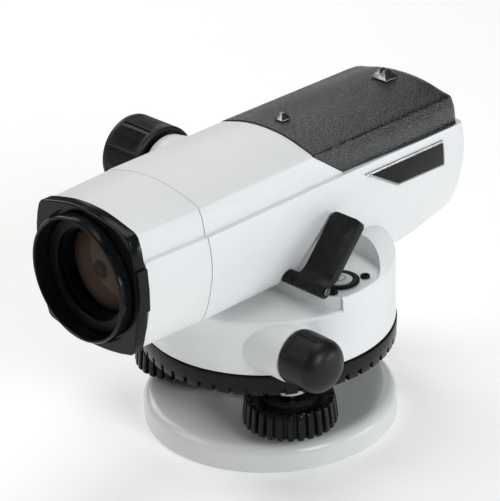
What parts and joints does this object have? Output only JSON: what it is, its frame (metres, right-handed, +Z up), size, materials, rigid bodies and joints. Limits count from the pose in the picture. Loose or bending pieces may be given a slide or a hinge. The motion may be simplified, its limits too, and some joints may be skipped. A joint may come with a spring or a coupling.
{
  "type": "automatic level",
  "caption": "Surveyor's automatic level: telescope with self-levelling compensator on a drum that turns on a levelling base with foot screws, circle ring, tangent and focus knobs.",
  "frame": {"origin": "on the vertical rotation axis, on the underside of the base plate", "axes": "+Z up along the vertical axis; +Y along the line of sight towards the eyepiece, so the objective faces -Y; +X to the side with the circular vial and its mirror"},
  "size_m": [0.1396, 0.2076, 0.1354],
  "materials": {
    "white_enamel": "satin",
    "base_enamel": "satin",
    "black_plastic": "satin",
    "black_textured_enamel": "satin",
    "black_rubber": "matte",
    "black_anodised": "satin",
    "steel": "satin",
    "brass": "satin",
    "aluminium": "satin",
    "glass": "polished",
    "mirror": "polished"
  },
  "bodies": {
    "base": {"base_plate": "base_enamel", "spring_plate": "steel"},
    "foot_1": {"foot_screw_1": "steel", "foot_knob_1": "black_plastic"},
    "foot_2": {"foot_screw_2": "steel", "foot_knob_2": "black_plastic"},
    "foot_3": {"foot_screw_3": "steel", "foot_knob_3": "black_plastic"},
    "tribrach_body": {"tribrach": "base_enamel", "axis_sleeve": "brass"},
    "circle": {"circle_ring": "black_plastic"},
    "alidade": {"alidade_housing": "white_enamel", "drum_floor_plate": "aluminium", "axis_spindle": "steel", "tangent_bush_right": "brass", "tangent_bush_left": "brass", "front_housing": "white_enamel", "objective_hood": "black_plastic", "objective_cell": "black_anodised", "objective_lens": "glass", "objective_retainer": "black_anodised", "focus_bush": "brass", "compensator_frame": "aluminium", "damper_magnet": "steel", "fixed_prism_front": "glass", "fixed_prism_rear": "glass", "reticle_cell": "brass", "reticle": "glass", "eyepiece_tube": "black_anodised", "top_cover": "black_textured_enamel", "front_sight": "aluminium", "rear_sight": "aluminium", "side_plate": "black_plastic", "vial_cup": "black_anodised", "vial_glass": "glass", "vial_screw_1": "black_anodised", "vial_screw_2": "black_anodised", "vial_screw_3": "black_anodised", "mirror_pin": "steel", "mirror_bracket": "black_plastic"},
    "azimuth_wheel": {"worm_wheel": "brass"},
    "tangent_drive": {"tangent_shaft": "steel", "tangent_knob_right": "black_rubber", "tangent_knob_left": "black_rubber"},
    "focus_drive": {"focus_pinion": "steel", "focus_knob": "black_rubber"},
    "focus_slide": {"focus_cell": "aluminium", "focus_lens": "glass"},
    "pendulum": {"pendulum_arm": "aluminium", "pendulum_prism": "glass"},
    "eye_focus": {"diopter_ring": "black_plastic", "eyecup": "black_rubber"},
    "eye_tube": {"eye_lens_tube": "black_anodised", "eye_lens": "glass"},
    "mirror_flap": {"mirror_frame": "black_plastic", "mirror_glass": "mirror"}
  },
  "joints": [
    {"name": "foot_screw_1_turn", "type": "hinge", "parent": "base", "child": "foot_1", "pos_m": [0.03413, -0.02217, 0.012], "axis": [0, 0, 1], "range_deg": [-780, 780]},
    {"name": "foot_screw_2_turn", "type": "hinge", "parent": "base", "child": "foot_2", "pos_m": [-0.03626, -0.01848, 0.012], "axis": [0, 0, 1], "range_deg": [-780, 780]},
    {"name": "foot_screw_3_turn", "type": "hinge", "parent": "base", "child": "foot_3", "pos_m": [0.00213, 0.04064, 0.012], "axis": [0, 0, 1], "range_deg": [-780, 780]},
    {"name": "tribrach_tilt", "type": "hinge", "parent": "base", "child": "tribrach_body", "pos_m": [0.03413, -0.02217, 0.035], "axis": [0.9986, -0.0523, 0], "range_deg": [-1.5, 1.5]},
    {"name": "circle_turn", "type": "hinge", "parent": "tribrach_body", "child": "circle", "pos_m": [0, 0, 0.037], "axis": [0, 0, 1], "continuous": true},
    {"name": "azimuth_clutch", "type": "hinge", "parent": "tribrach_body", "child": "azimuth_wheel", "pos_m": [0, 0, 0.0582], "axis": [0, 0, 1], "continuous": true},
    {"name": "azimuth_fine", "type": "hinge", "parent": "azimuth_wheel", "child": "alidade", "pos_m": [0, 0, 0.0464], "axis": [0, 0, 1], "continuous": true},
    {"name": "tangent_turn", "type": "hinge", "parent": "alidade", "child": "tangent_drive", "pos_m": [0, -0.0333, 0.0582], "axis": [1, 0, 0], "continuous": true},
    {"name": "focus_turn", "type": "hinge", "parent": "alidade", "child": "focus_drive", "pos_m": [0, -0.019, 0.1102], "axis": [1, 0, 0], "range_deg": [-140, 195]},
    {"name": "focus_travel", "type": "slide", "parent": "alidade", "child": "focus_slide", "axis": [0, 1, 0], "range_m": [-0.0102, 0.0141]},
    {"name": "pendulum_swing", "type": "hinge", "parent": "alidade", "child": "pendulum", "pos_m": [0, 0.032, 0.119], "axis": [1, 0, 0], "range_deg": [-0.3, 0.3]},
    {"name": "diopter_turn", "type": "hinge", "parent": "alidade", "child": "eye_focus", "pos_m": [0, 0.092, 0.10184], "axis": [0, 1, 0], "range_deg": [-150, 150]},
    {"name": "eye_tube_travel", "type": "slide", "parent": "alidade", "child": "eye_tube", "axis": [0, 1, 0], "range_m": [-0.0016, 0.0016]},
    {"name": "mirror_fold", "type": "hinge", "parent": "alidade", "child": "mirror_flap", "pos_m": [0, -0.0154, 0.0798], "axis": [1, 0, 0], "range_deg": [-35, 50]}
  ],
  "couplings": [
    {"joint": "tangent_turn", "follows": "azimuth_fine", "ratio": 81},
    {"joint": "focus_travel", "follows": "focus_turn", "m_per_rad": 0.00405},
    {"joint": "eye_tube_travel", "follows": "diopter_turn", "m_per_rad": 0.0006},
    {"joint": "foot_screw_3_turn", "follows": "tribrach_tilt", "ratio": -511.45}
  ]
}
